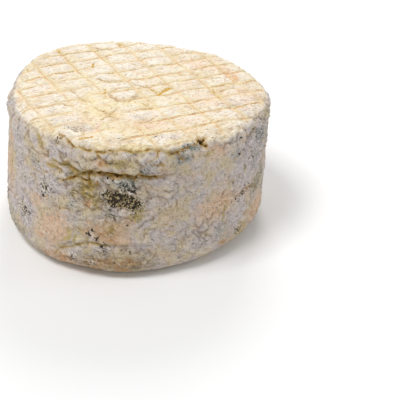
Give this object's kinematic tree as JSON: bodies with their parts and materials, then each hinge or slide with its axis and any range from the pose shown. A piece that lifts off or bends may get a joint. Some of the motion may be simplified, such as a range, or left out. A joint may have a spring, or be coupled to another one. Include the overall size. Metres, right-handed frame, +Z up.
{
  "type": "blue cheese wheel",
  "caption": "Whole wheel of natural-rind blue cheese: a slightly leaning drum with round shoulders, a draining mat's grid pressed into its faces, and a folded rind specked with mould.",
  "frame": {"origin": "middle of the foot, on the surface that the wheel stands on", "axes": "+Z up through the wheel's two round faces, -Y towards the side that the picture shows"},
  "size_m": [0.199, 0.2102, 0.0999],
  "materials": {
    "rind": "dry, matt, finely wrinkled natural rind, cream on the faces and grey-brown on the wall"
  },
  "bodies": {
    "root": {"cheese_wheel": "rind"}
  },
  "joints": []
}
